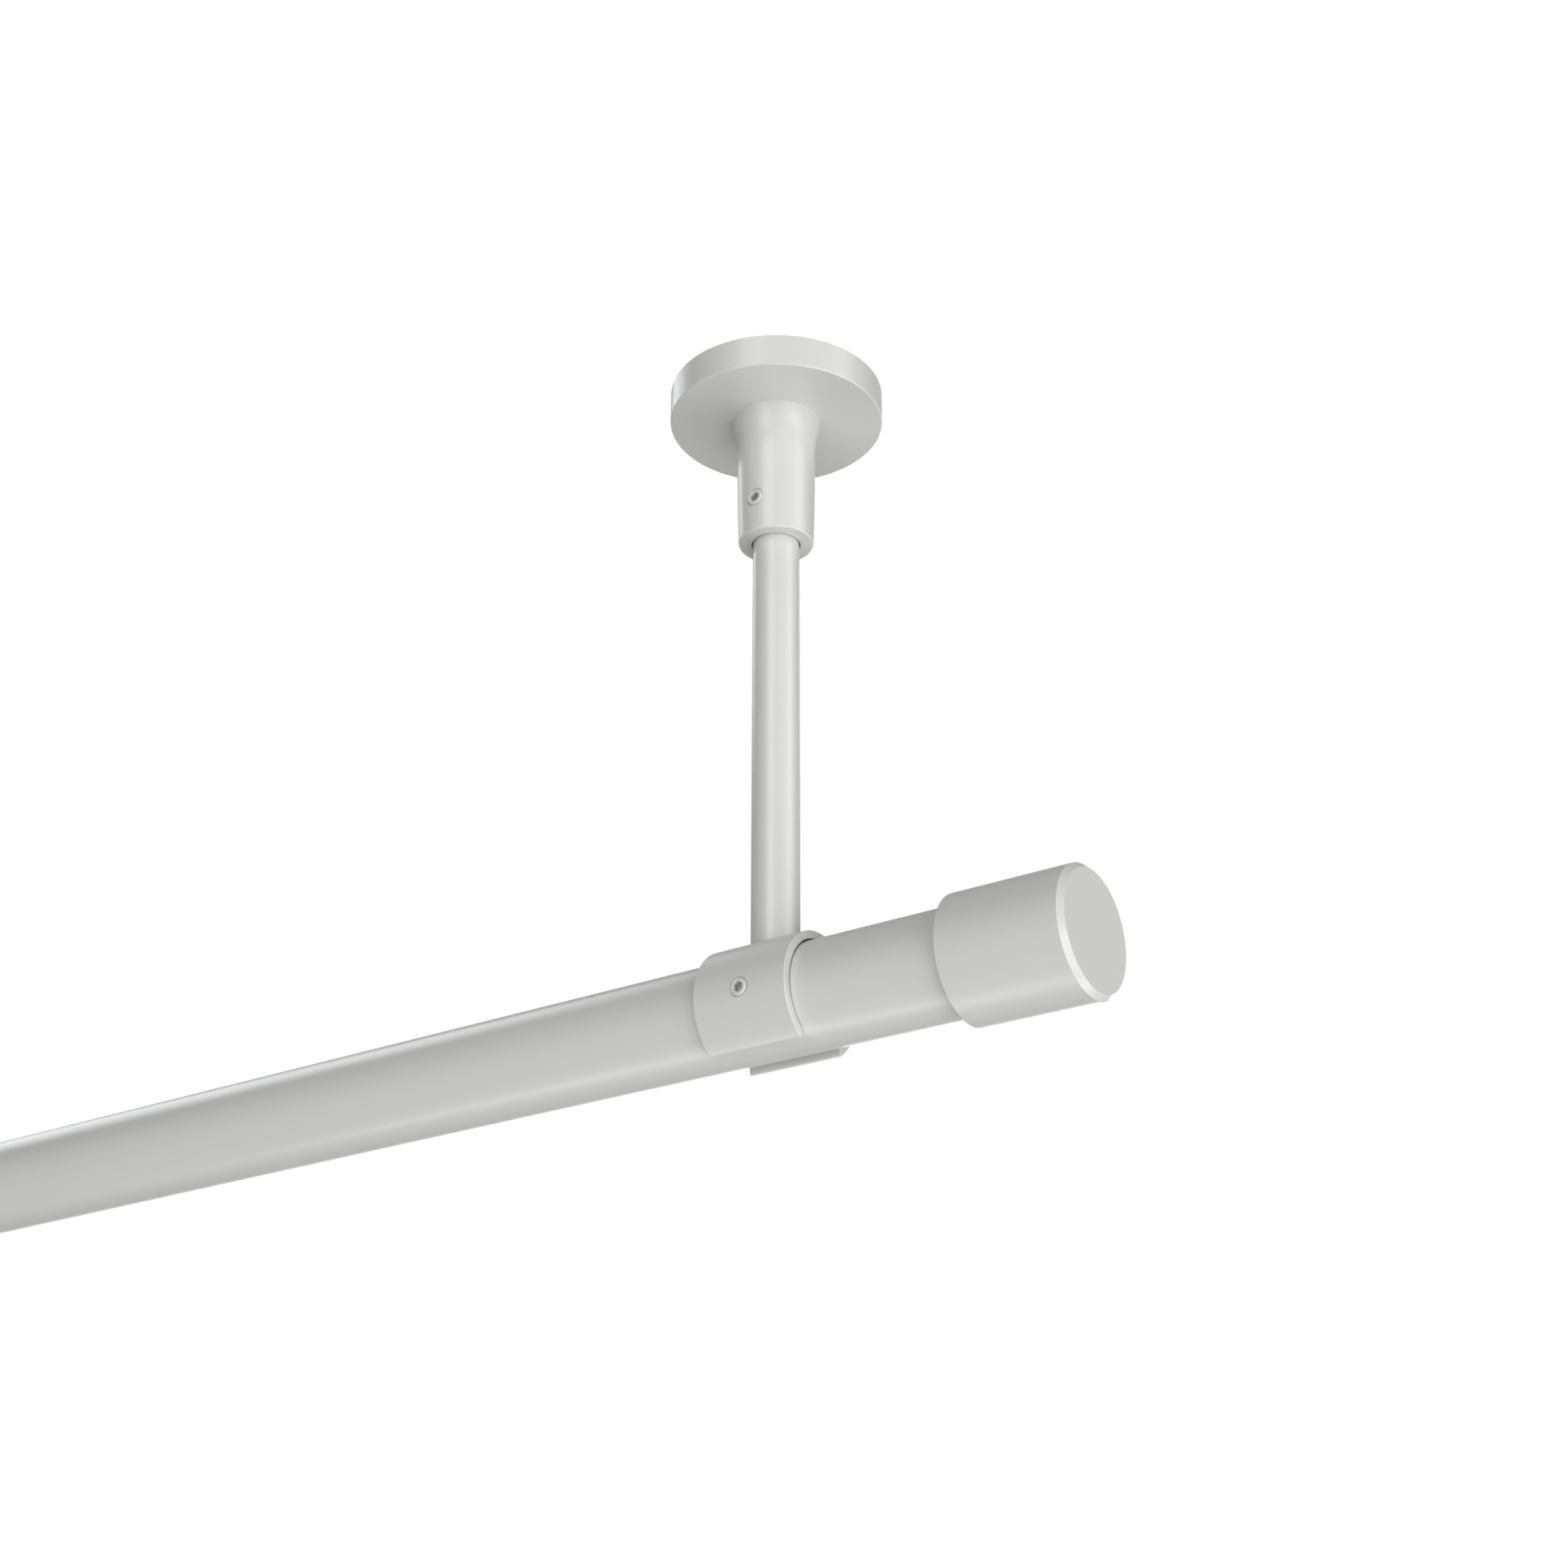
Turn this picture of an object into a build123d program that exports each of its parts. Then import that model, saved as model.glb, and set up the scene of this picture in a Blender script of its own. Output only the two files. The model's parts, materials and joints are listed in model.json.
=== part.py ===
"""Curtain rod on two ceiling brackets.

Frame: millimetres, +Z up, the rod along X. The origin is on the ceiling plane, midway between the brackets.
Each bracket is a rosette over a screwed plate, a flared sleeve, a height-adjustable stem and an open saddle.
"""

import os
from math import asin, degrees, sqrt

from build123d import *

# Rod
rod_diameter = 28.0
rod_wall = 1.2
rod_length = 1200.0
rod_drop = 184.2  # ceiling to rod axis
rod_overhang = 88.0  # stem axis to tube end
rod_sag = 0.1  # the tube hangs this much low in the saddle bores

# Plate under the rosette
plate_diameter = 46.0
plate_thickness = 3.0
fixing_spacing = 35.0
fixing_hole_diameter = 4.5
fixing_head_diameter = 8.6
countersink_angle = 90.0
collar_diameter = 16.0
stud_diameter = 10.0
stud_engagement = 9.0
stud_chamfer = 1.0

# Rosette
rosette_diameter = 60.0
rosette_height = 9.5
rosette_wall = 1.6
rosette_edge_round = 0.4
rosette_hole_clearance = 0.3

# Sleeve
flare_diameter = 25.4
flare_height = 7.0
neck_diameter = 21.85
neck_round = 16.0
sleeve_end_diameter = 20.7
sleeve_length = 39.5
sleeve_edge_round = 0.5
stud_bore_depth = 10.0
stem_bore_depth = 27.2
stem_clearance = 0.35
sleeve_screw_height = 10.3  # above the sleeve's lower end

# Stem
stem_diameter = 12.8
stem_insertion = 19.2
stem_chamfer = 0.8
stem_seat_gap = 0.05

# Saddle
saddle_clearance = 0.4
saddle_wall = 2.1
saddle_length = 27.8
saddle_mouth_width = 17.0
saddle_edge_chamfer = 0.2
jaw_edge_round = 0.5

# Set screws
set_screw_diameter = 5.0
set_screw_recess = 0.1
set_screw_tip_gap = 0.25
set_screw_point_chamfer = 0.6
set_screw_rim_chamfer = 0.25
set_screw_mouth_chamfer = 0.3
hex_key = 2.5
sleeve_socket_depth = 2.3
saddle_socket_depth = 1.4
thread_clearance = 0.05

# Countersunk screw that holds the stem on the saddle
stem_screw_diameter = 4.0
stem_screw_head_diameter = 8.0
stem_screw_length = 12.0
stem_screw_socket_depth = 1.6
stem_screw_hole_clearance = 0.2
stem_thread_run_out = 1.0

# End cap
cap_diameter = 33.5
cap_overlap = 31.6
cap_end_gap = 0.2
cap_end_wall = 2.8
cap_clearance = 0.2
cap_chamfer_length = 1.5
cap_chamfer_depth = 1.3
cap_edge_round = 0.3
ring_section = 1.6
ring_gap = 0.05
groove_width = 2.0
groove_inset = 8.0  # open end of the cap to the middle of the groove

# Radii and heights that several pieces share
rod_radius = rod_diameter / 2
stem_radius = stem_diameter / 2
stud_radius = stud_diameter / 2
bracket_spacing = rod_length - 2 * rod_overhang
rosette_floor = rosette_height - rosette_wall
sleeve_bottom = rosette_height + sleeve_length
sleeve_screw_z = sleeve_screw_height - sleeve_bottom
saddle_z = rod_sag - rod_drop
saddle_bore_radius = rod_radius + saddle_clearance
saddle_radius = saddle_bore_radius + saddle_wall
set_screw_radius = set_screw_diameter / 2
screw_hole_radius = set_screw_radius + thread_clearance
screw_mouth_radius = screw_hole_radius + set_screw_mouth_chamfer
stem_screw_radius = stem_screw_diameter / 2
stem_screw_head_radius = stem_screw_head_diameter / 2
rod_axis = Axis((0, 0, -rod_drop), (1, 0, 0))


def sleeve_radius(depth: float) -> float:
    """Outer radius of the sleeve's gently barrelled body, a depth below its neck."""
    slimming = (neck_diameter - sleeve_end_diameter) / 2
    run = sleeve_length - flare_height
    arc_radius = (run**2 + slimming**2) / (2 * slimming)
    return neck_diameter / 2 - arc_radius + sqrt(arc_radius**2 - depth**2)


def ceiling_plane(x: float) -> Plane:
    """Plane on the ceiling at a bracket, facing up."""
    return Plane(origin=(x, 0, 0))


def front_plane(x: float, distance: float, z: float) -> Plane:
    """Plane in front of a bracket's axis, facing forward, on which the set screws lie."""
    return Plane(origin=(x, -distance, z), x_dir=(1, 0, 0), z_dir=(0, -1, 0))


def rod_end_plane(side: int) -> Plane:
    """Lengthwise section plane at one end of the tube: x runs outward along the rod, y is the radius."""
    return Plane(origin=(side * rod_length / 2, 0, -rod_drop), x_dir=(side, 0, 0), z_dir=(0, -side, 0))


def make_rod_tube() -> Part:
    """The round tube, with open ends under the caps."""
    with BuildPart() as rod_tube:
        with BuildSketch(Plane(origin=(-rod_length / 2, 0, -rod_drop), x_dir=(0, 1, 0), z_dir=(1, 0, 0))):
            Circle(rod_radius)
            Circle(rod_radius - rod_wall, mode=Mode.SUBTRACT)
        extrude(amount=rod_length)
    return rod_tube.part


def make_mounting_plate(x: float) -> Part:
    """Round steel plate with two countersunk holes, a collar that backs the rosette and a threaded stud."""
    ceiling = ceiling_plane(x)
    with BuildPart() as mounting_plate:
        with BuildSketch(ceiling):
            Circle(plate_diameter / 2)
        extrude(amount=-plate_thickness)
        with BuildSketch(ceiling):
            Circle(collar_diameter / 2)
        extrude(amount=-rosette_floor)
        with BuildSketch(ceiling):
            Circle(stud_radius)
        extrude(amount=-(rosette_height + stud_engagement))
        chamfer(mounting_plate.edges().sort_by(Axis.Z)[0], stud_chamfer)
        underside = Plane(origin=(x, 0, -plate_thickness), x_dir=(1, 0, 0), z_dir=(0, 0, -1))
        with Locations(underside):
            with GridLocations(0, fixing_spacing, 1, 2):
                CounterSinkHole(
                    fixing_hole_diameter / 2,
                    fixing_head_diameter / 2,
                    depth=plate_thickness,
                    counter_sink_angle=countersink_angle,
                )
    return mounting_plate.part


def make_rosette(x: float) -> Part:
    """Shallow cup that covers the plate, with a hole for the stud."""
    ceiling = ceiling_plane(x)
    with BuildPart() as rosette:
        with BuildSketch(ceiling):
            Circle(rosette_diameter / 2)
        extrude(amount=-rosette_height)
        fillet(rosette.edges().sort_by(Axis.Z)[0], rosette_edge_round)
        with BuildSketch(ceiling):
            Circle(rosette_diameter / 2 - rosette_wall)
        extrude(amount=-rosette_floor, mode=Mode.SUBTRACT)
        with BuildSketch(ceiling):
            Circle(stud_radius + rosette_hole_clearance)
        extrude(amount=-rosette_height, mode=Mode.SUBTRACT)
    return rosette.part


def make_sleeve(x: float) -> Part:
    """Flared collar: threaded onto the stud from above, bored for the stem from below."""
    axis = Axis((x, 0, 0), (0, 0, 1))
    neck_z = -rosette_height - flare_height
    with BuildPart() as sleeve:
        with BuildSketch(front_plane(x, 0, 0)) as profile:
            with BuildLine():
                Polyline(
                    (0, -sleeve_bottom),
                    (0, -rosette_height),
                    (flare_diameter / 2, -rosette_height),
                    (neck_diameter / 2, neck_z),
                )
                TangentArc(
                    (neck_diameter / 2, neck_z), (sleeve_end_diameter / 2, -sleeve_bottom), tangent=(0, -1)
                )
                Line((sleeve_end_diameter / 2, -sleeve_bottom), (0, -sleeve_bottom))
            make_face()
            outer_corners = (
                ((neck_diameter / 2, neck_z), neck_round),
                ((sleeve_end_diameter / 2, -sleeve_bottom), sleeve_edge_round),
            )
            for corner, edge_round in outer_corners:
                fillet(profile.vertices().sort_by_distance(corner)[0], edge_round)
        revolve(axis=axis)
        with BuildSketch(Plane(origin=(x, 0, -rosette_height))):
            Circle(stud_radius + thread_clearance)
        extrude(amount=-stud_bore_depth, mode=Mode.SUBTRACT)
        with BuildSketch(Plane(origin=(x, 0, -sleeve_bottom))):
            Circle(stem_radius + stem_clearance)
        extrude(amount=stem_bore_depth, mode=Mode.SUBTRACT)
        screw_reach = sleeve_radius(neck_z - sleeve_screw_z)
        with Locations(front_plane(x, screw_reach, sleeve_screw_z)):
            CounterSinkHole(
                screw_hole_radius, screw_mouth_radius, depth=screw_reach, counter_sink_angle=countersink_angle
            )
    return sleeve.part


def make_set_screw(x: float, z: float, reach: float, tip: float, socket_depth: float) -> Part:
    """Socket set screw pointing at a bracket's axis, from a sunk outer face to a chamfered point."""
    outer_face = front_plane(x, reach - set_screw_recess, z)
    with BuildPart() as set_screw:
        with BuildSketch(outer_face):
            Circle(set_screw_radius)
        extrude(amount=tip - (reach - set_screw_recess))
        rims = set_screw.edges().filter_by(GeomType.CIRCLE).sort_by(Axis.Y)
        chamfer(rims[0], set_screw_rim_chamfer)
        chamfer(rims[-1], set_screw_point_chamfer)
        with BuildSketch(outer_face):
            RegularPolygon(hex_key / 2, side_count=6, major_radius=False, rotation=30)
        extrude(amount=-socket_depth, mode=Mode.SUBTRACT)
    return set_screw.part


def make_stem(x: float) -> Part:
    """Round bar, chamfered above, coped below to sit on the saddle, with a threaded hole in its foot."""
    stem_top = stem_insertion - sleeve_bottom
    with BuildPart() as stem:
        with BuildSketch(Plane(origin=(x, 0, stem_top))):
            Circle(stem_radius)
        extrude(amount=saddle_z - stem_top)
        chamfer(stem.edges().sort_by(Axis.Z)[-1], stem_chamfer)
        with BuildSketch(Plane(origin=(x - saddle_length / 2, 0, saddle_z), x_dir=(0, 1, 0), z_dir=(1, 0, 0))):
            Circle(saddle_radius + stem_seat_gap)
        extrude(amount=saddle_length, mode=Mode.SUBTRACT)
        with BuildSketch(Plane(origin=(x, 0, saddle_z))):
            Circle(stem_screw_radius + thread_clearance)
        extrude(amount=saddle_bore_radius + stem_screw_length + stem_thread_run_out, mode=Mode.SUBTRACT)
    return stem.part


def make_saddle(x: float) -> Part:
    """Open clip round the tube: a straight mouth below, a countersunk hole above, a threaded hole in front."""
    end_plane = Plane(origin=(x - saddle_length / 2, 0, saddle_z), x_dir=(0, 1, 0), z_dir=(1, 0, 0))
    with BuildPart() as saddle:
        with BuildSketch(end_plane) as profile:
            with BuildLine():
                arcs = []
                for radius in (saddle_radius, saddle_bore_radius):
                    half_mouth = degrees(asin(saddle_mouth_width / 2 / radius))
                    arcs.append(CenterArc((0, 0), radius, half_mouth - 90, 360 - 2 * half_mouth))
                outside, inside = arcs
                Line(outside @ 0, inside @ 0)
                Line(outside @ 1, inside @ 1)
            make_face()
            fillet(profile.vertices().group_by(Axis.Y)[0], jaw_edge_round)
        extrude(amount=saddle_length)
        skin = saddle.faces().filter_by(GeomType.CYLINDER).sort_by(SortBy.AREA)[-1]
        chamfer(skin.edges().filter_by(GeomType.CIRCLE), saddle_edge_chamfer)
        with Locations(front_plane(x, saddle_radius, saddle_z)):
            CounterSinkHole(
                screw_hole_radius, screw_mouth_radius, depth=saddle_radius, counter_sink_angle=countersink_angle
            )
        screw_seat = Plane(origin=(x, 0, saddle_z + saddle_bore_radius), x_dir=(1, 0, 0), z_dir=(0, 0, -1))
        with Locations(screw_seat):
            CounterSinkHole(
                stem_screw_radius + stem_screw_hole_clearance,
                stem_screw_head_radius + thread_clearance,
                depth=2 * saddle_wall,
                counter_sink_angle=countersink_angle,
            )
    return saddle.part


def make_stem_screw(x: float) -> Part:
    """Countersunk socket screw, head down inside the saddle's bore."""
    head_z = saddle_z + saddle_bore_radius
    head_height = stem_screw_head_radius - stem_screw_radius
    with BuildPart() as stem_screw:
        with BuildSketch(front_plane(x, 0, head_z)):
            Polygon(
                (0, 0),
                (stem_screw_head_radius, 0),
                (stem_screw_radius, head_height),
                (stem_screw_radius, stem_screw_length),
                (0, stem_screw_length),
                align=None,
            )
        revolve(axis=Axis((x, 0, 0), (0, 0, 1)))
        with BuildSketch(Plane(origin=(x, 0, head_z))):
            RegularPolygon(hex_key / 2, side_count=6, major_radius=False)
        extrude(amount=stem_screw_socket_depth, mode=Mode.SUBTRACT)
    return stem_screw.part


def make_end_cap(side: int) -> Part:
    """Slip-over cap with a chamfered face and a groove for its grip ring."""
    bore_radius = rod_radius + cap_clearance
    groove_depth = ring_gap + ring_section + ring_gap - cap_clearance
    cap_radius = cap_diameter / 2
    cap_end = cap_end_gap + cap_end_wall
    with BuildPart() as end_cap:
        with BuildSketch(rod_end_plane(side)) as profile:
            with BuildLine():
                Polyline(
                    (cap_end_gap, 0),
                    (cap_end_gap, bore_radius),
                    (-cap_overlap, bore_radius),
                    (-cap_overlap, cap_radius),
                    (cap_end - cap_chamfer_length, cap_radius),
                    (cap_end, cap_radius - cap_chamfer_depth),
                    (cap_end, 0),
                    close=True,
                )
            make_face()
            fillet(profile.vertices().group_by(Axis.X)[0].sort_by(Axis.Y)[-1], cap_edge_round)
            with Locations((groove_inset - cap_overlap, bore_radius + groove_depth / 2)):
                Rectangle(groove_width, groove_depth, mode=Mode.SUBTRACT)
        revolve(axis=rod_axis)
    return end_cap.part


def make_cap_grip_ring(side: int) -> Part:
    """Rubber ring in the cap's groove, close round the tube."""
    with BuildPart() as cap_grip_ring:
        with BuildSketch(rod_end_plane(side)):
            with Locations((groove_inset - cap_overlap, rod_radius + ring_gap + ring_section / 2)):
                Circle(ring_section / 2)
        revolve(axis=rod_axis)
    return cap_grip_ring.part


def save(part: Part, name: str) -> None:
    """Label a finished piece and write it to its own file."""
    part.label = name
    export_step(part, f"parts/{name}.step")


def main() -> None:
    """Make every piece, once for the rod and once for each bracket."""
    os.makedirs("parts", exist_ok=True)
    save(make_rod_tube(), "rod_tube")
    sleeve_screw_reach = sleeve_radius(-rosette_height - flare_height - sleeve_screw_z)
    for name, side in (("right", 1), ("left", -1)):
        x = side * bracket_spacing / 2
        save(make_mounting_plate(x), f"{name}_mounting_plate")
        save(make_rosette(x), f"{name}_rosette")
        save(make_sleeve(x), f"{name}_sleeve")
        sleeve_tip = stem_radius + set_screw_tip_gap
        sleeve_set_screw = make_set_screw(x, sleeve_screw_z, sleeve_screw_reach, sleeve_tip, sleeve_socket_depth)
        save(sleeve_set_screw, f"{name}_sleeve_set_screw")
        save(make_stem(x), f"{name}_stem")
        save(make_saddle(x), f"{name}_saddle")
        save(make_stem_screw(x), f"{name}_stem_screw")
        saddle_tip = rod_radius + set_screw_tip_gap
        saddle_set_screw = make_set_screw(x, saddle_z, saddle_radius, saddle_tip, saddle_socket_depth)
        save(saddle_set_screw, f"{name}_saddle_set_screw")
        save(make_end_cap(side), f"{name}_end_cap")
        save(make_cap_grip_ring(side), f"{name}_cap_grip_ring")


main()
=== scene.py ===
"""Looks of a curtain rod that hangs from the ceiling on two brackets.

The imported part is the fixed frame: its solids keep their shapes and places and get painted, plated and
rubber finishes. The set screws are rebuilt here with cut threads, rounded faces and broached sockets.
Lengths are metres in the part's own frame: +Z up, the rod along X, the ceiling at Z = 0.
"""

import json
import logging
import math
from abc import ABC, abstractmethod
from dataclasses import dataclass
from enum import Enum
from typing import Any, ClassVar

import bmesh
import bpy
from mathutils import Matrix, Quaternion, Vector


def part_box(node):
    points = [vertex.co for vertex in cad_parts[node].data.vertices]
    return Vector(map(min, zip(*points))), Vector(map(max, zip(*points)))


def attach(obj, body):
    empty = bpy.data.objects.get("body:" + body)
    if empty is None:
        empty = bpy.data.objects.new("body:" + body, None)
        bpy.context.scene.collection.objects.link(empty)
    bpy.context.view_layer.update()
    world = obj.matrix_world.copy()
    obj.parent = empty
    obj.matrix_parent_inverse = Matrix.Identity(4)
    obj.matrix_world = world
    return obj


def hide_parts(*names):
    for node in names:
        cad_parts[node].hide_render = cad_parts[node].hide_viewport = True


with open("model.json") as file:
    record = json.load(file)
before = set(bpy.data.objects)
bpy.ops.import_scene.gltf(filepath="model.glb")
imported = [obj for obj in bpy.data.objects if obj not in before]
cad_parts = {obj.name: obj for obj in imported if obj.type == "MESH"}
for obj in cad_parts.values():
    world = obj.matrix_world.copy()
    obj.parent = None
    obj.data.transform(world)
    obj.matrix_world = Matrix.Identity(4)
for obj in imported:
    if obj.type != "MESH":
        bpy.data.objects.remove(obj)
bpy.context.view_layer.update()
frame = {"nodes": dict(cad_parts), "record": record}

MM = 0.001

Triple = tuple[float, float, float]
Colour = Triple
Range = tuple[float, float]
Socket = bpy.types.NodeSocket

log = logging.getLogger("curtain_rod")


class End(Enum):
    """The two mirrored ends of the rod."""

    RIGHT = "right"
    LEFT = "left"


class Seat(Enum):
    """The piece that a set screw is screwed into."""

    SLEEVE = "sleeve"
    SADDLE = "saddle"


class Slot(Enum):
    """Material slots of the part's record."""

    WHITE_PAINT = "white_paint"
    SCREW_PAINT = "screw_paint"
    ZINC_PLATE = "zinc_plate"
    GRIP_RUBBER = "grip_rubber"


class Shader:
    """One procedural material under construction."""

    NOISE_TROUGH: ClassVar[float] = 0.3
    NOISE_CREST: ClassVar[float] = 0.7
    # A mix node's sockets have the same names for every kind of data, so its colours go by number.
    MIX_FIRST: ClassVar[int] = 6
    MIX_SECOND: ClassVar[int] = 7
    MIX_RESULT: ClassVar[int] = 2

    def __init__(self, name: str) -> None:
        """Start a material with its surface shader.

        Args:
            name: Name of the material.
        """
        self.material = bpy.data.materials.new(name)
        self.material.use_nodes = True
        self.tree = self.material.node_tree
        self.surface = self.tree.nodes["Principled BSDF"].inputs
        self.place = self.add("ShaderNodeTexCoord").outputs["Object"]

    def add(self, kind: str, **settings: Any) -> bpy.types.Node:
        """Add a node.

        Args:
            kind: Blender's name of the node type.
            **settings: Properties to set on it.

        Returns:
            The new node.
        """
        node = self.tree.nodes.new(kind)
        for key, value in settings.items():
            setattr(node, key, value)
        return node

    def link(self, source: Socket, target: Socket) -> None:
        """Join an output to an input."""
        self.tree.links.new(source, target)

    def mapped_place(self, scale: Triple, shift: Triple = (0.0, 0.0, 0.0)) -> Socket:
        """Scale and then shift the place on the piece.

        Args:
            scale: Factor along each axis.
            shift: Metres to add along each axis.

        Returns:
            The new place.
        """
        mapping = self.add("ShaderNodeMapping")
        mapping.inputs["Scale"].default_value = scale
        mapping.inputs["Location"].default_value = shift
        self.link(self.place, mapping.inputs["Vector"])
        return mapping.outputs["Vector"]

    def noise(self, size: float, detail: float = 2.0, along_x: float = 1.0) -> Socket:
        """Add noise fixed to the piece.

        Args:
            size: Width of one lump, in metres.
            detail: Octaves of finer lumps.
            along_x: How many times longer the lumps are along X.

        Returns:
            The noise value, around one half.
        """
        noise = self.add("ShaderNodeTexNoise")
        noise.inputs["Scale"].default_value = 1 / size
        noise.inputs["Detail"].default_value = detail
        place = self.place if along_x == 1.0 else self.mapped_place((1 / along_x, 1.0, 1.0))
        self.link(place, noise.inputs["Vector"])
        return noise.outputs["Fac"]

    def distance_from_axis(self, middle: Vector) -> Socket:
        """Measure how far the surface is from a line along X.

        Args:
            middle: A point of the line.

        Returns:
            The distance, in metres.
        """
        length = self.add("ShaderNodeVectorMath", operation="LENGTH")
        across = self.mapped_place((0.0, 1.0, 1.0), (0.0, -middle.y, -middle.z))
        self.link(across, length.inputs[0])
        return length.outputs["Value"]

    def remap(self, value: Socket, source: Range, target: Range) -> Socket:
        """Map one range of a value to another and hold it there.

        Args:
            value: Value to map.
            source: Its first and last value.
            target: The results for those two.

        Returns:
            The mapped value.
        """
        mapped = self.add("ShaderNodeMapRange")
        for name, limit in zip(("From Min", "From Max", "To Min", "To Max"), (*source, *target)):
            mapped.inputs[name].default_value = limit
        self.link(value, mapped.inputs["Value"])
        return mapped.outputs["Result"]

    def spread(self, noise: Socket, low: float, high: float) -> Socket:
        """Map a noise's usual range, trough to crest, to new limits."""
        return self.remap(noise, (self.NOISE_TROUGH, self.NOISE_CREST), (low, high))

    def tint(self, value: Socket, first: Colour | Socket, second: Colour | Socket) -> Socket:
        """Blend two colours by a value.

        Args:
            value: Blend from 0, the first colour, to 1, the second.
            first: Linear RGB, or the colour of another node.
            second: Linear RGB, or the colour of another node.

        Returns:
            The colour.
        """
        mix = self.add("ShaderNodeMix", data_type="RGBA")
        for number, colour in ((self.MIX_FIRST, first), (self.MIX_SECOND, second)):
            if isinstance(colour, Socket):
                self.link(colour, mix.inputs[number])
            else:
                mix.inputs[number].default_value = (*colour, 1.0)
        self.link(value, mix.inputs["Factor"])
        return mix.outputs[self.MIX_RESULT]

    def bump(self, value: Socket, height: float) -> None:
        """Roughen the surface.

        Args:
            value: Noise value.
            height: Real height of the roughness, in metres.
        """
        bump = self.add("ShaderNodeBump")
        bump.inputs["Strength"].default_value = 1.0
        bump.inputs["Distance"].default_value = height
        self.link(value, bump.inputs["Height"])
        self.link(bump.outputs["Normal"], self.surface["Normal"])


@dataclass(frozen=True)
class Finish(ABC):
    """A finish that one or more pieces share."""

    name: str

    @abstractmethod
    def material(self) -> bpy.types.Material:
        """Build the finish as a new material."""


@dataclass(frozen=True)
class SatinPaint(Finish):
    """Baked powder coat: nearly even colour, a faint mottle, a drifting sheen and a fine orange peel."""

    dark: Colour = (0.594, 0.596, 0.570)
    light: Colour = (0.600, 0.602, 0.576)
    # grey of the tube's unpainted bore; on a set screw it is the painted shade in the socket
    steel_and_socket_shade: Colour = (0.3, 0.3, 0.29)
    roughness: Range = (0.28, 0.30)
    mottle: float = 14 * MM
    sheen_cloud: float = 40 * MM
    peel: float = 1.1 * MM
    peel_height: float = 0.0012 * MM

    def bore_and_socket_shade(self, shader: Shader) -> Socket | None:
        """Give the share of unpainted metal in the tube's bore and of painted shade in a screw's socket;
        None where neither is.
        """
        return None

    def material(self) -> bpy.types.Material:
        """Build the coat, with the tube's unpainted bore and the painted shade in a screw's socket where
        they show.

        Returns:
            The finished material.
        """
        shader = Shader(self.name)
        mottle = shader.spread(shader.noise(self.mottle, detail=4.0), 0.0, 1.0)
        colour = shader.tint(mottle, self.dark, self.light)
        # the tube's unpainted bore, and the painted shade down a screw's socket, turn the coat grey here
        bore_and_socket_shade = self.bore_and_socket_shade(shader)
        if bore_and_socket_shade is not None:
            colour = shader.tint(bore_and_socket_shade, colour, self.steel_and_socket_shade)
        shader.link(colour, shader.surface["Base Color"])
        sheen = shader.spread(shader.noise(self.sheen_cloud, detail=0.0), *self.roughness)
        shader.link(sheen, shader.surface["Roughness"])
        shader.bump(shader.noise(self.peel, detail=1.0), self.peel_height)
        return shader.material


@dataclass(frozen=True)
class ScrewPaint(SatinPaint):
    """The coat on a set screw, with painted shade down its socket: a darker grey that deepens towards the
    socket's floor.
    """

    # mesh attribute that holds the painted shade down the socket
    SOCKET_SHADE: ClassVar[str] = "bore_and_socket_shade"

    dark: Colour = (0.585, 0.587, 0.561)
    # painted shade at the socket's floor
    steel_and_socket_shade: Colour = (0.4, 0.4, 0.39)
    mottle: float = 2 * MM

    def bore_and_socket_shade(self, shader: Shader) -> Socket:
        """Read the painted socket shade that the screw's mesh carries."""
        return shader.add("ShaderNodeAttribute", attribute_name=self.SOCKET_SHADE).outputs["Fac"]


@dataclass(frozen=True)
class TubePaint(SatinPaint):
    """The coat on the tube, which ends at its cut ends and leaves the bore unpainted."""

    node: str = "rod_tube"
    bare_depth: float = 0.7 * MM
    edge: float = 0.2 * MM

    def bore_and_socket_shade(self, shader: Shader) -> Socket:
        """Mark the bore, and the inner part of the cut ends.

        Args:
            shader: Material under construction.

        Returns:
            One in the bore and nothing on the outside.
        """
        low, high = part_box(self.node)
        coated = (high.y - low.y) / 2 - self.bare_depth
        distance = shader.distance_from_axis((low + high) / 2)
        return shader.remap(distance, (coated - self.edge, coated), (1.0, 0.0))


@dataclass(frozen=True)
class ZincPlating(Finish):
    """Dull zinc on turned steel: faint drawn streaks and cloudy patches."""

    dark: Colour = (0.42, 0.43, 0.45)
    light: Colour = (0.58, 0.59, 0.60)
    roughness: Range = (0.55, 0.7)
    cloud: float = 6 * MM
    streak: float = 0.25 * MM
    streak_length: float = 40.0
    streak_height: float = 0.002 * MM

    def material(self) -> bpy.types.Material:
        """Build the plating.

        Returns:
            The finished material.
        """
        shader = Shader(self.name)
        shader.surface["Metallic"].default_value = 1.0
        cloud = shader.spread(shader.noise(self.cloud, detail=5.0), 0.0, 1.0)
        shader.link(shader.tint(cloud, self.dark, self.light), shader.surface["Base Color"])
        streaks = shader.noise(self.streak, detail=3.0, along_x=self.streak_length)
        shader.link(shader.spread(streaks, *self.roughness), shader.surface["Roughness"])
        shader.bump(streaks, self.streak_height)
        return shader.material


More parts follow.
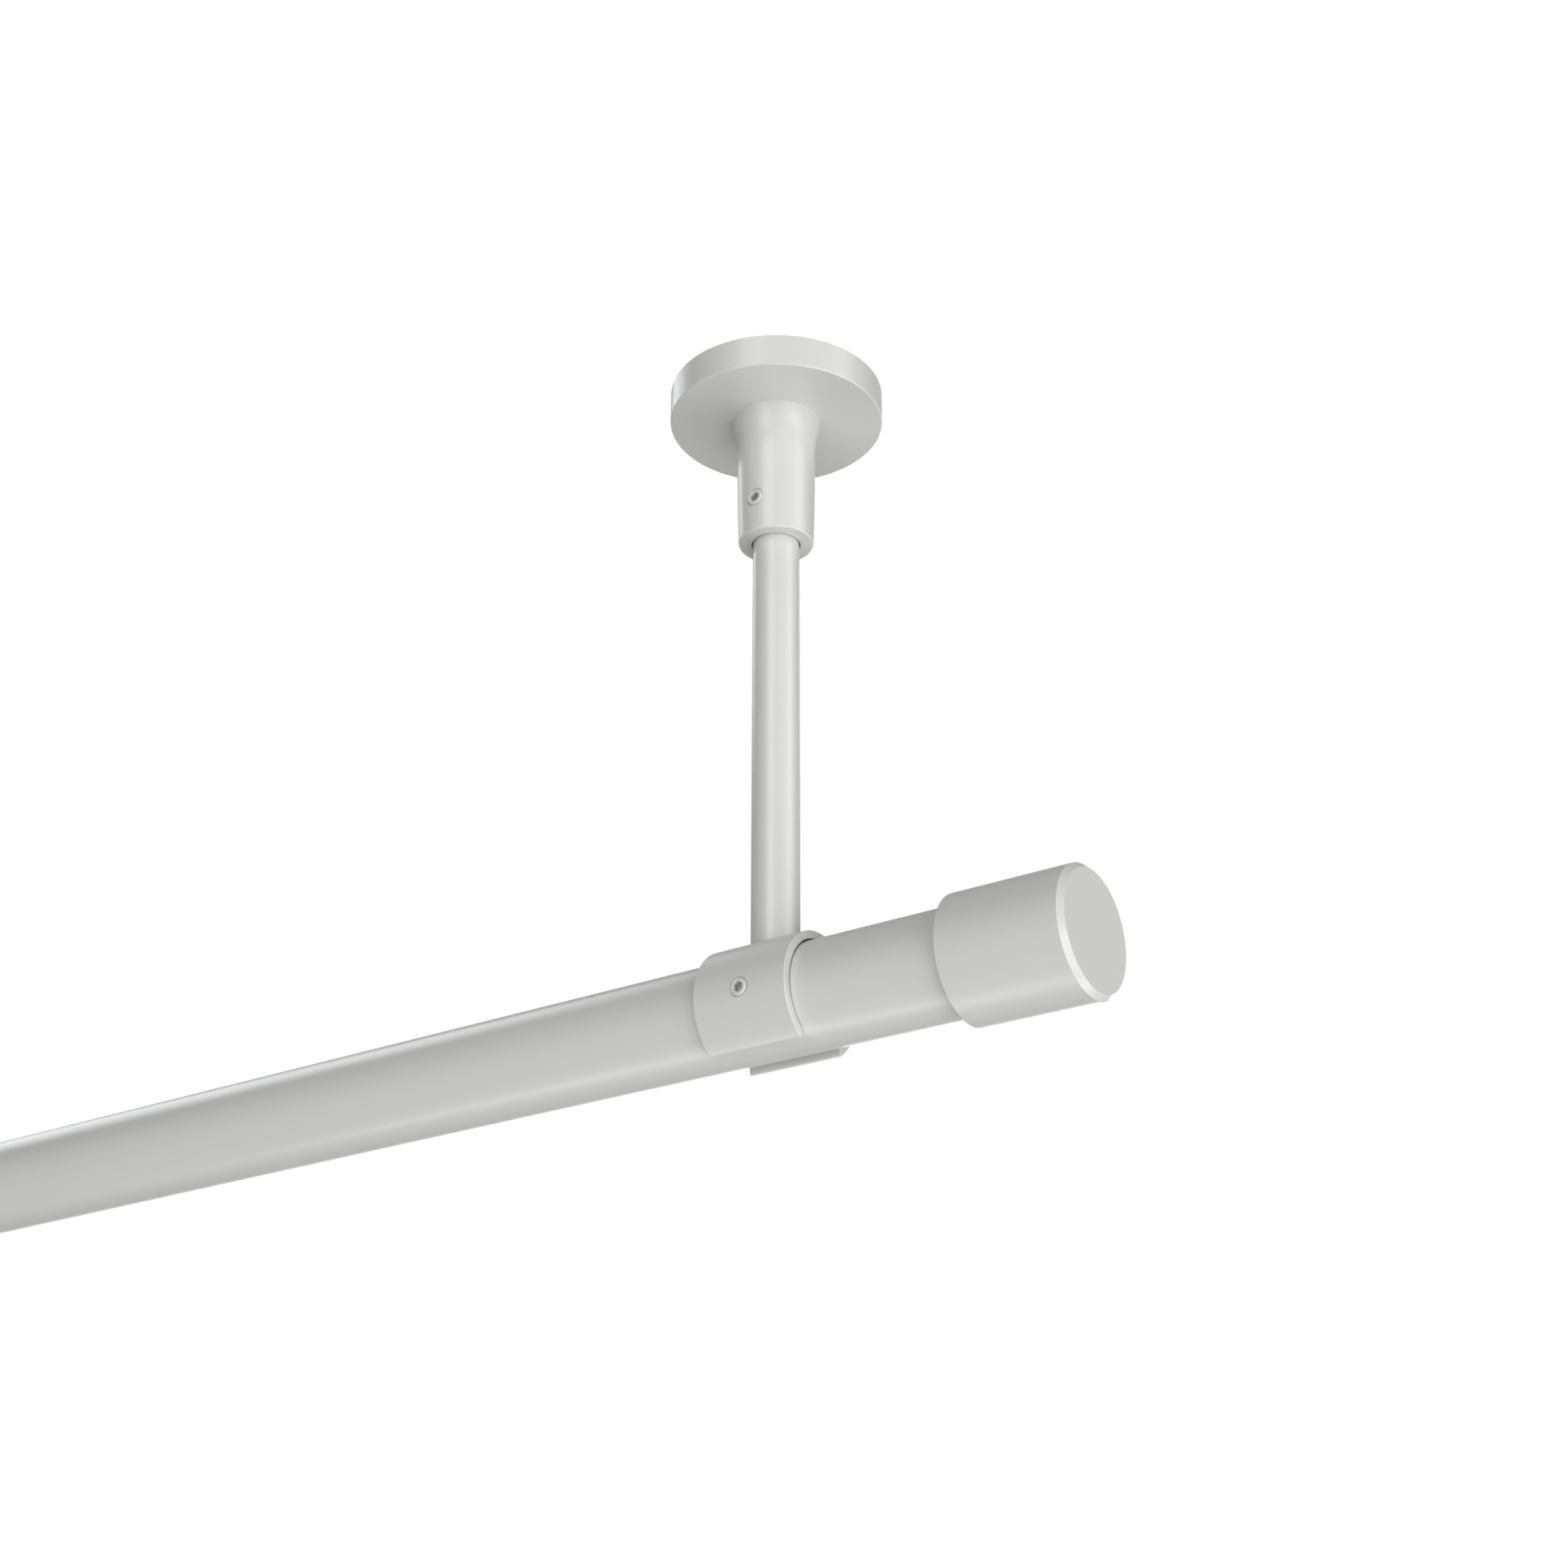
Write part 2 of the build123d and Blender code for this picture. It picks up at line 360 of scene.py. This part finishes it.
@dataclass(frozen=True)
class GripRubber(Finish):
    """Matt black rubber with a fine moulded grain."""

    dark: Colour = (0.012, 0.012, 0.012)
    light: Colour = (0.028, 0.028, 0.029)
    roughness: Range = (0.65, 0.85)
    grain: float = 0.35 * MM
    grain_height: float = 0.01 * MM

    def material(self) -> bpy.types.Material:
        """Build the rubber.

        Returns:
            The finished material.
        """
        shader = Shader(self.name)
        grain = shader.noise(self.grain, detail=3.0)
        shader.link(shader.tint(grain, self.dark, self.light), shader.surface["Base Color"])
        shader.link(shader.spread(grain, *self.roughness), shader.surface["Roughness"])
        shader.bump(grain, self.grain_height)
        return shader.material


@dataclass(frozen=True)
class PaleFloor(Finish):
    """Matt off-white studio floor with hardly visible clouds, lit evenly by a glow of its own."""

    dark: Colour = (0.78, 0.78, 0.77)
    light: Colour = (0.82, 0.82, 0.81)
    roughness: float = 0.8
    cloud: float = 0.6
    glow: float = 0.65

    def material(self) -> bpy.types.Material:
        """Build the floor's surface.

        Returns:
            The finished material.
        """
        shader = Shader(self.name)
        clouds = shader.tint(shader.noise(self.cloud), self.dark, self.light)
        shader.link(clouds, shader.surface["Base Color"])
        shader.link(clouds, shader.surface["Emission Color"])
        shader.surface["Emission Strength"].default_value = self.glow
        shader.surface["Roughness"].default_value = self.roughness
        return shader.material


class Wardrobe:
    """The part's finishes, each built once, and the dressing of its pieces in them."""

    def __init__(self) -> None:
        """Build every finish."""
        tube = TubePaint("white_paint_tube")
        finishes = {
            Slot.WHITE_PAINT: SatinPaint("white_paint_satin"),
            Slot.SCREW_PAINT: ScrewPaint("screw_paint_satin"),
            Slot.ZINC_PLATE: ZincPlating("zinc_plate_dull"),
            Slot.GRIP_RUBBER: GripRubber("grip_rubber_matt"),
        }
        self.materials = {slot: finish.material() for slot, finish in finishes.items()}
        self.own_materials = {tube.node: tube.material()}

    def dress(self, piece: bpy.types.Object, slot: Slot) -> None:
        """Give a piece its own finish, or else its slot's.

        Args:
            piece: A mesh of the part.
            slot: Material slot of the record.
        """
        piece.data.materials.clear()
        piece.data.materials.append(self.own_materials.get(piece.name, self.materials[slot]))

    def dress_solids(self) -> None:
        """Give every solid of the frame the finish that its record names."""
        for entry in frame["record"]["subparts"]:
            slot = Slot(entry["material_slot"])
            self.dress(frame["nodes"][entry["node"]], slot)
            log.info("%s: %s", entry["node"], slot.value)


class ThreadTree:
    """Geometry Nodes tree that winds a ridge round the core of a screw."""

    SIZES: ClassVar[tuple[str, ...]] = (
        "Pitch", "Turns", "Core Radius", "Depth", "Root Width", "Crest Width", "Start",
    )
    POINTS_PER_TURN: ClassVar[int] = 48
    RUN_OUT: ClassVar[float] = 0.12  # share of the helix at each end
    RUN_OUT_SCALE: ClassVar[float] = 0.02

    def __init__(self) -> None:
        """Make the tree's sockets and join the ridge to the core."""
        self.tree = bpy.data.node_groups.new("screw_thread", "GeometryNodeTree")
        sockets = self.tree.interface
        sockets.new_socket("Core", in_out="INPUT", socket_type="NodeSocketGeometry")
        for name in self.SIZES:
            sockets.new_socket(name, in_out="INPUT", socket_type="NodeSocketFloat")
        sockets.new_socket("Finish", in_out="INPUT", socket_type="NodeSocketMaterial")
        sockets.new_socket("Screw", in_out="OUTPUT", socket_type="NodeSocketGeometry")
        self.given = self.tree.nodes.new("NodeGroupInput").outputs
        self.build()

    def add(self, kind: str, inputs: dict[str | int, Any], **settings: Any) -> bpy.types.NodeOutputs:
        """Add a node.

        Args:
            kind: Blender's name of the node type.
            inputs: A socket to join or a value to set, by input name or number.
            **settings: Properties to set on the node first.

        Returns:
            The node's outputs.
        """
        node = self.tree.nodes.new(kind)
        for key, value in settings.items():
            setattr(node, key, value)
        for key, value in inputs.items():
            if isinstance(value, Socket):
                self.tree.links.new(value, node.inputs[key])
            else:
                node.inputs[key].default_value = value
        return node.outputs

    def times(self, a: Socket, b: Socket | float) -> Socket:
        """Multiply two numbers."""
        return self.add("ShaderNodeMath", {0: a, 1: b}, operation="MULTIPLY")[0]

    def corner(self, outward: Socket | float, along: Socket) -> Socket:
        """Make one corner of the ridge's section."""
        return self.add("ShaderNodeCombineXYZ", {"X": outward, "Y": along})[0]

    def section(self) -> Socket:
        """Make the ridge's section.

        Returns:
            A closed trapezium that stands on the core's surface.
        """
        depth, root, crest = (self.given[name] for name in ("Depth", "Root Width", "Crest Width"))
        corners = {
            "Point 1": self.corner(0.0, self.times(root, -0.5)),
            "Point 2": self.corner(depth, self.times(crest, -0.5)),
            "Point 3": self.corner(depth, self.times(crest, 0.5)),
            "Point 4": self.corner(0.0, self.times(root, 0.5)),
        }
        return self.add("GeometryNodeCurvePrimitiveQuadrilateral", corners, mode="POINTS")[0]

    def helix(self) -> Socket:
        """Make the line that the ridge follows.

        Returns:
            A right-hand helix on the core's surface.
        """
        radius = self.given["Core Radius"]
        line = self.add("GeometryNodeCurveSpiral", {
            "Resolution": self.POINTS_PER_TURN,
            "Rotations": self.given["Turns"],
            "Start Radius": radius,
            "End Radius": radius,
            "Height": self.times(self.given["Pitch"], self.given["Turns"]),
            "Reverse": True,
        })[0]
        line = self.add("GeometryNodeSetCurveNormal", {"Curve": line}, mode="Z_UP")[0]
        lift = self.add("ShaderNodeCombineXYZ", {"Z": self.given["Start"]})[0]
        return self.add("GeometryNodeTransform", {"Geometry": line, "Translation": lift})[0]

    def run_out(self) -> Socket:
        """Let the ridge rise from the core at its start and sink into it at its end.

        Returns:
            The scale of the section along the helix.
        """
        way = self.add("GeometryNodeSplineParameter", {})["Factor"]
        rise = self.add("ShaderNodeMapRange", {
            "Value": way,
            "From Max": self.RUN_OUT,
            "To Min": self.RUN_OUT_SCALE,
        })[0]
        sink = self.add("ShaderNodeMapRange", {
            "Value": way,
            "From Min": 1.0 - self.RUN_OUT,
            "To Min": 1.0,
            "To Max": self.RUN_OUT_SCALE,
        })[0]
        return self.times(rise, sink)

    def build(self) -> None:
        """Join the ridge to the core and give both their finish."""
        ridge = self.add("GeometryNodeCurveToMesh", {
            "Curve": self.helix(),
            "Profile Curve": self.section(),
            "Scale": self.run_out(),
            "Fill Caps": True,
        })[0]
        joined = self.tree.nodes.new("GeometryNodeJoinGeometry")
        self.tree.links.new(self.given["Core"], joined.inputs[0])
        self.tree.links.new(ridge, joined.inputs[0])
        real = self.add("GeometryNodeRealizeInstances", {"Geometry": joined.outputs[0]})[0]
        done = self.add("GeometryNodeSetMaterial", {
            "Geometry": real,
            "Material": self.given["Finish"],
        })[0]
        self.add("NodeGroupOutput", {"Screw": done})

    def wind(self, core: bpy.types.Object, sizes: dict[str, float], finish: bpy.types.Material) -> None:
        """Wind the thread round a core and leave a plain mesh.

        Args:
            core: The screw's core.
            sizes: A length or a number for each name in SIZES.
            finish: Material of the whole screw.
        """
        modifier = core.modifiers.new("thread", "NODES")
        modifier.node_group = self.tree
        for item in self.tree.interface.items_tree:
            if item.name in sizes:
                modifier[item.identifier] = sizes[item.name]
            elif item.name == "Finish":
                modifier[item.identifier] = finish
        bpy.context.view_layer.update()
        evaluated = core.evaluated_get(bpy.context.evaluated_depsgraph_get())
        threaded = bpy.data.meshes.new_from_object(evaluated)
        core.modifiers.remove(modifier)
        threaded.name = core.name
        core.data = threaded


@dataclass(frozen=True)
class SetScrew:
    """Hexagon socket set screw with a cup point. It is built along +Z with its point at the origin.

    Its face stands a little further out than the plain solid's, level with the metal round it.
    """

    end: End
    seat: Seat
    proud: float  # how much further out the face stands
    radius: float = 2.46 * MM
    core_radius: float = 2.05 * MM
    pitch: float = 0.8 * MM
    crest: float = 0.1 * MM
    root_share: float = 0.9  # of the pitch
    ridge_sink: float = 0.02 * MM
    point_radius: float = 1.3 * MM
    cup_radius: float = 1.1 * MM
    cup_depth: float = 0.15 * MM
    point_length: float = 0.6 * MM
    land: float = 0.65 * MM  # plain stretch under the face
    rim: float = 0.5 * MM
    rim_steps: int = 4
    key: float = 2.5 * MM
    mouth: float = 0.12 * MM
    socket_depth: float = 1.7 * MM
    drill_point: float = 0.2 * MM
    segments: int = 48
    crease: float = math.radians(32)

    @property
    def node(self) -> str:
        """Name of the solid that the screw stands for."""
        return f"{self.end.value}_{self.seat.value}_set_screw"

    @property
    def body(self) -> str:
        """Name of the body that the screw is."""
        return f"{self.end.value}_{self.seat.value}_screw"

    @property
    def thread_depth(self) -> float:
        """Height of the thread over the core."""
        return self.radius - self.core_radius

    @property
    def angles(self) -> list[float]:
        """Directions of the points of every ring."""
        return [2 * math.pi * k / self.segments for k in range(self.segments)]

    def turned(self, radius: float) -> list[float]:
        """Give one radius in every direction."""
        return [radius] * self.segments

    def hexagon(self, angle: float) -> float:
        """Give the socket's reach from its middle, with a flat across angle 0.

        Args:
            angle: Direction in the screw's face.

        Returns:
            The distance to the socket's wall.
        """
        sector = math.pi / 3
        return self.key / 2 / math.cos((angle + sector / 2) % sector - sector / 2)

    def rounded_rim(self, length: float) -> list[tuple[float, list[float]]]:
        """List the rings of the rounded edge between the land and the face.

        Args:
            length: Length of the screw.

        Returns:
            The height of each ring and its radius in every direction.
        """
        rings = []
        for step in range(self.rim_steps + 1):
            angle = math.pi / 2 * step / self.rim_steps
            height = length - self.rim * (1 - math.sin(angle))
            radius = self.radius - self.rim * (1 - math.cos(angle))
            rings.append((height, self.turned(radius)))
        return rings

    def rings(self, length: float) -> list[tuple[float, list[float]]]:
        """List the rings of the core from the point to the socket's floor.

        Args:
            length: Length of the screw.

        Returns:
            The height of each ring and its radius in every direction.
        """
        socket = [self.hexagon(angle) for angle in self.angles]
        land_start = length - self.land
        return [
            (0.0, self.turned(self.cup_radius)),
            (0.0, self.turned(self.point_radius)),
            (self.point_length, self.turned(self.core_radius)),
            (land_start - self.thread_depth, self.turned(self.core_radius)),
            (land_start, self.turned(self.radius)),
            *self.rounded_rim(length),
            (length, self.turned(max(socket) + self.mouth / 2)),
            (length - self.mouth, socket),
            (length - self.socket_depth, socket),
        ]

    def core(self, length: float) -> bpy.types.Object:
        """Make the core with its point, face and socket.

        Args:
            length: Length of the screw.

        Returns:
            The core, standing on its point.
        """
        shape = bmesh.new()
        # painted shade down the socket, read by the screw's coat
        bore_and_socket_shade = shape.verts.layers.float.new(ScrewPaint.SOCKET_SHADE)
        rows = []
        for height, radii in self.rings(length):
            points = [(r * math.cos(a), r * math.sin(a), height) for a, r in zip(self.angles, radii)]
            rows.append([shape.verts.new(point) for point in points])
        cup = shape.verts.new((0.0, 0.0, self.cup_depth))
        floor = shape.verts.new((0.0, 0.0, length - self.socket_depth - self.drill_point))
        # painted shade: the socket's deep ring and floor take the full darker grey, fading up the walls to
        # the mouth
        for vertex in (*rows[-1], floor):
            vertex[bore_and_socket_shade] = 1.0
        for k in range(self.segments):
            n = (k + 1) % self.segments
            for low, high in zip(rows, rows[1:]):
                shape.faces.new((low[k], low[n], high[n], high[k]))
            shape.faces.new((rows[0][n], rows[0][k], cup))
            shape.faces.new((rows[-1][k], rows[-1][n], floor))
        mesh = bpy.data.meshes.new(self.node)
        shape.to_mesh(mesh)
        shape.free()
        piece = bpy.data.objects.new(f"{self.node}_cut", mesh)
        bpy.context.scene.collection.objects.link(piece)
        return piece

    def build(self, thread: ThreadTree, wardrobe: Wardrobe) -> None:
        """Make the screw in its place.

        Args:
            thread: Tree that cuts the thread.
            wardrobe: Finishes of the part.
        """
        low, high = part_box(self.node)
        length = high.y - low.y + self.proud
        piece = self.core(length)
        thread.wind(piece, {
            "Pitch": self.pitch,
            "Turns": (length - self.point_length - self.land) / self.pitch,
            "Core Radius": self.core_radius - self.ridge_sink,
            "Depth": self.thread_depth,
            "Root Width": self.root_share * self.pitch,
            "Crest Width": self.crest,
            "Start": self.point_length,
        }, wardrobe.materials[Slot.SCREW_PAINT])
        middle = (low + high) / 2
        seat = Matrix.Translation((middle.x, high.y, middle.z))
        piece.data.transform(seat @ Matrix.Rotation(math.pi / 2, 4, "X"))
        piece.data.shade_smooth()
        piece.data.set_sharp_from_angle(angle=self.crease)
        wardrobe.dress(piece, Slot.SCREW_PAINT)
        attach(piece, self.body)
        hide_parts(self.node)
        log.info("%s: %.2f mm long", piece.name, length / MM)


@dataclass(frozen=True)
class Softbox:
    """A large diffused lamp that faces the rod's right bracket.

    Azimuth 0 stands in front of the rod, at -Y, and 90 beyond its right end, at +X. Angles are degrees.
    A lamp's power follows from its radiance and its size. One that isn't mirrored lights the paint without
    a reflection in it.
    """

    name: str
    azimuth: float
    elevation: float
    width: float
    height: float
    radiance: float
    roll: float = 0.0
    distance: float = 3.0
    tint: Colour = (1.0, 1.0, 1.0)
    mirrored: bool = True

    @property
    def outward(self) -> Vector:
        """Work out where the lamp stands, seen from the rod.

        Returns:
            The direction from the rod to the lamp, of length one.
        """
        turn = math.radians(self.azimuth)
        rise = math.radians(self.elevation)
        level = math.cos(rise)
        return Vector((level * math.sin(turn), -level * math.cos(turn), math.sin(rise)))

    def place(self, subject: Vector) -> None:
        """Hang the lamp.

        Args:
            subject: Point that it faces.
        """
        data = bpy.data.lights.new(self.name, "AREA")
        data.shape = "RECTANGLE"
        data.size = self.width
        data.size_y = self.height
        data.energy = self.radiance * math.pi * self.width * self.height
        data.color = self.tint
        lamp = bpy.data.objects.new(self.name, data)
        lamp.location = subject + self.outward * self.distance
        lamp.rotation_mode = "QUATERNION"
        roll = Quaternion((0, 0, 1), math.radians(self.roll))
        lamp.rotation_quaternion = self.outward.to_track_quat("Z", "Y") @ roll
        lamp.visible_camera = False
        lamp.visible_glossy = self.mirrored
        bpy.context.scene.collection.objects.link(lamp)


@dataclass(frozen=True)
class Studio:
    """White studio: a pale floor far below, a white surround and soft lamps.

    The lamps whose edges show along the top of the rod are a little cooler, and the back fill lights sides
    that the photograph doesn't show.
    """

    COOL: ClassVar[Colour] = (0.965, 0.99, 1.025)

    subject: Triple = (0.5, 0.0, -0.1)
    floor_height: float = -3.0
    floor_radius: float = 9.0
    floor_segments: int = 96
    lamps: tuple[Softbox, ...] = (
        Softbox(
            "key_right",
            azimuth=80, elevation=5, width=9.3, height=1.95, radiance=3.0, roll=40, distance=4.5,
        ),
        Softbox(
            "fill_front",
            azimuth=5, elevation=10, width=1.5, height=3.6, radiance=3.4, roll=-15,
        ),
        Softbox(
            "rim_left",
            azimuth=260, elevation=40, width=1.4, height=1.4, radiance=2.3, tint=COOL,
        ),
        Softbox(
            "horizon_strip",
            azimuth=215, elevation=5, width=6.0, height=0.6, radiance=2.7, tint=COOL,
        ),
        Softbox(
            "white_backdrop",
            azimuth=220, elevation=30, width=4.6, height=6.8, radiance=0.4, tint=COOL,
        ),
        Softbox(
            "floor_bounce",
            azimuth=50, elevation=-50, width=3.6, height=1.8, radiance=1.9, roll=40, distance=2.2,
        ),
        Softbox(
            "low_right",
            azimuth=130, elevation=-45, width=3.8, height=0.7, radiance=3.7, roll=-40, distance=2.2,
        ),
        Softbox(
            "low_left",
            azimuth=265, elevation=-60, width=0.6, height=1.0, radiance=3.1, roll=-30, distance=2.2,
        ),
        Softbox(
            "back_fill",
            azimuth=214, elevation=35, width=1.2, height=1.2, radiance=7.0, mirrored=False,
        ),
    )

    def build(self) -> None:
        """Make the surround, the floor and the lamps."""
        self.build_surround()
        self.build_floor()
        for lamp in self.lamps:
            lamp.place(Vector(self.subject))
        log.info("studio: %d lamps", len(self.lamps))

    def build_surround(self) -> None:
        """Put white behind the part, which throws no light on it: that is left to the lamps."""
        world = bpy.data.worlds.new("white_surround")
        world.use_nodes = True
        tree = world.node_tree
        tree.nodes.clear()
        sight = tree.nodes.new("ShaderNodeLightPath")
        white = tree.nodes.new("ShaderNodeBackground")
        white.inputs["Color"].default_value = (1.0, 1.0, 1.0, 1.0)
        result = tree.nodes.new("ShaderNodeOutputWorld")
        tree.links.new(sight.outputs["Is Camera Ray"], white.inputs["Strength"])
        tree.links.new(white.outputs["Background"], result.inputs["Surface"])
        bpy.context.scene.world = world
        bpy.context.scene.view_settings.view_transform = "Standard"

    def build_floor(self) -> None:
        """Lay a pale round floor, a room's height under the ceiling."""
        mesh = bpy.data.meshes.new("studio_floor")
        shape = bmesh.new()
        bmesh.ops.create_circle(
            shape, cap_ends=True, radius=self.floor_radius, segments=self.floor_segments,
        )
        shape.to_mesh(mesh)
        shape.free()
        mesh.transform(Matrix.Translation((0.0, 0.0, self.floor_height)))
        mesh.materials.append(PaleFloor("pale_floor").material())
        floor = bpy.data.objects.new("studio_floor", mesh)
        floor.visible_diffuse = False
        floor.visible_glossy = False
        bpy.context.scene.collection.objects.link(floor)


@dataclass(frozen=True)
class PhotoView:
    """Camera of the photograph: below the rod, in front of it and beyond its right end."""

    position: Triple = (0.84187, -0.48082, -0.39752)
    turn: float = math.radians(34.239)
    tilt_up: float = math.radians(25.285)
    focal_length_px: float = 3007.6
    image_px: int = 1932
    sensor_mm: float = 36.0
    nearest: float = 0.01

    def place(self) -> None:
        """Make the camera and look through it."""
        data = bpy.data.cameras.new("photo_view")
        data.sensor_width = self.sensor_mm
        data.lens = self.focal_length_px * self.sensor_mm / self.image_px
        data.clip_start = self.nearest
        camera = bpy.data.objects.new("photo_view", data)
        camera.location = self.position
        camera.rotation_euler = (math.pi / 2 + self.tilt_up, 0.0, self.turn)
        bpy.context.scene.collection.objects.link(camera)
        bpy.context.scene.camera = camera


def main() -> None:
    """Dress the solids, cut the set screws, and set up the studio and the camera."""
    logging.basicConfig(level=logging.INFO, format="%(name)s: %(message)s")
    wardrobe = Wardrobe()
    wardrobe.dress_solids()
    thread = ThreadTree()
    for end in End:
        SetScrew(end, Seat.SLEEVE, proud=0.25 * MM).build(thread, wardrobe)
        SetScrew(end, Seat.SADDLE, proud=0.35 * MM).build(thread, wardrobe)
    Studio().build()
    PhotoView().place()


if __name__ == "__main__":
    main()
